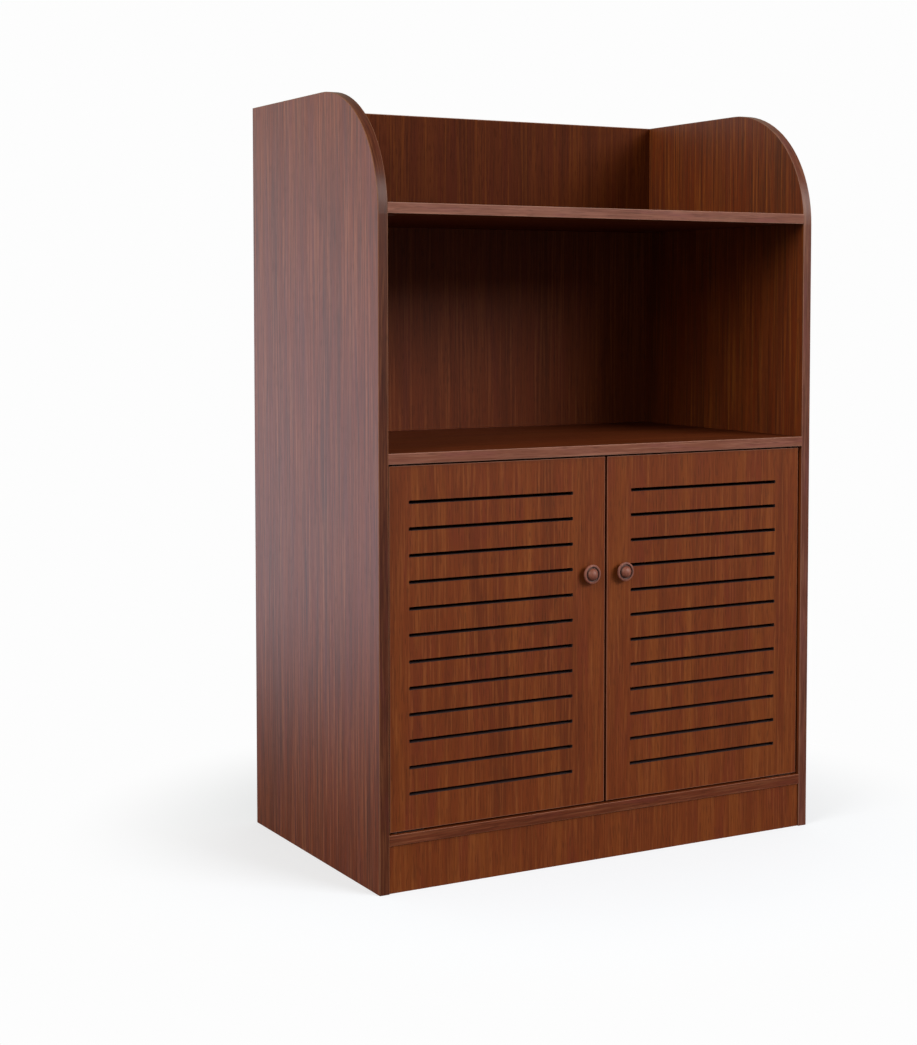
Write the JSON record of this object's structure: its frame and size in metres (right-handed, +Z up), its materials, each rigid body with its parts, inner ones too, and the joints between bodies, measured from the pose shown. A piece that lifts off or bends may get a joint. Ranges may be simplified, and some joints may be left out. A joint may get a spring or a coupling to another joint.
{
  "type": "microwave cart",
  "caption": "Free-standing kitchen stand with a slotted two-door cupboard, an open appliance niche above it and a tray top with rounded side corners.",
  "frame": {"origin": "on the floor, at the middle of the whole box with the knobs included", "axes": "+Z up, the doors face -Y, +X to the right of someone who faces the doors"},
  "size_m": [0.6, 0.359, 0.9],
  "materials": {
    "side_laminate": "satin red-brown wood-grain laminate, grain upright",
    "door_laminate": "satin warm red-brown wood-grain laminate, grain upright",
    "board_laminate": "satin red-brown wood-grain laminate, grain upright",
    "shelf_laminate": "satin red-brown wood-grain laminate, grain along the shelf",
    "edge_band": "satin brown plastic edge band with a wood print",
    "back_hardboard": "thin laminated hardboard, bare on its outside",
    "knob_wood": "turned wood, stained and lacquered",
    "beech": "plain",
    "black_plastic": "matt",
    "nylon": "dark brown, moulded",
    "ferrite": "sintered",
    "zinc_casting": "die cast",
    "zinc_plated_steel": "bright zinc plate"
  },
  "bodies": {
    "cabinet": {"back_panel": "back_hardboard", "back_panel_screws": "zinc_plated_steel", "bottom_shelf": "shelf_laminate", "bottom_shelf_edge_band": "edge_band", "cam_bolts": "zinc_plated_steel", "cam_housings": "zinc_casting", "catch_case": "black_plastic", "catch_magnets": "ferrite", "catch_pole_plates": "zinc_plated_steel", "catch_screws": "zinc_plated_steel", "cupboard_shelf": "shelf_laminate", "cupboard_shelf_edge_band": "edge_band", "dowels": "beech", "hinge_washers": "nylon", "kick_plate": "board_laminate", "left_lower_hinge_pin_plate": "zinc_plated_steel", "left_side_panel": "side_laminate", "left_side_panel_edge_band": "edge_band", "left_upper_hinge_pin_plate": "zinc_plated_steel", "middle_shelf": "shelf_laminate", "middle_shelf_edge_band": "edge_band", "pin_plate_screws": "zinc_plated_steel", "right_lower_hinge_pin_plate": "zinc_plated_steel", "right_side_panel": "side_laminate", "right_side_panel_edge_band": "edge_band", "right_upper_hinge_pin_plate": "zinc_plated_steel", "shelf_pins": "zinc_plated_steel", "top_shelf": "shelf_laminate", "top_shelf_edge_band": "edge_band", "tray_back_board": "board_laminate", "tray_back_board_edge_band": "edge_band"},
    "left_door_leaf": {"left_door": "door_laminate", "left_door_edge_band": "edge_band", "left_knob": "knob_wood", "left_knob_screw": "zinc_plated_steel", "left_lower_hinge_socket_plate": "zinc_plated_steel", "left_upper_hinge_socket_plate": "zinc_plated_steel", "left_socket_plate_screws": "zinc_plated_steel", "left_strike_plate": "zinc_plated_steel", "left_strike_screw": "zinc_plated_steel"},
    "right_door_leaf": {"right_door": "door_laminate", "right_door_edge_band": "edge_band", "right_knob": "knob_wood", "right_knob_screw": "zinc_plated_steel", "right_lower_hinge_socket_plate": "zinc_plated_steel", "right_upper_hinge_socket_plate": "zinc_plated_steel", "right_socket_plate_screws": "zinc_plated_steel", "right_strike_plate": "zinc_plated_steel", "right_strike_screw": "zinc_plated_steel"}
  },
  "joints": [
    {"name": "left_door_swing", "type": "hinge", "parent": "cabinet", "child": "left_door_leaf", "pos_m": [-0.2775, -0.1605, 0.273], "axis": [0, 0, -1], "range_deg": [0, 105]},
    {"name": "right_door_swing", "type": "hinge", "parent": "cabinet", "child": "right_door_leaf", "pos_m": [0.2775, -0.1605, 0.273], "axis": [0, 0, 1], "range_deg": [0, 105]}
  ]
}
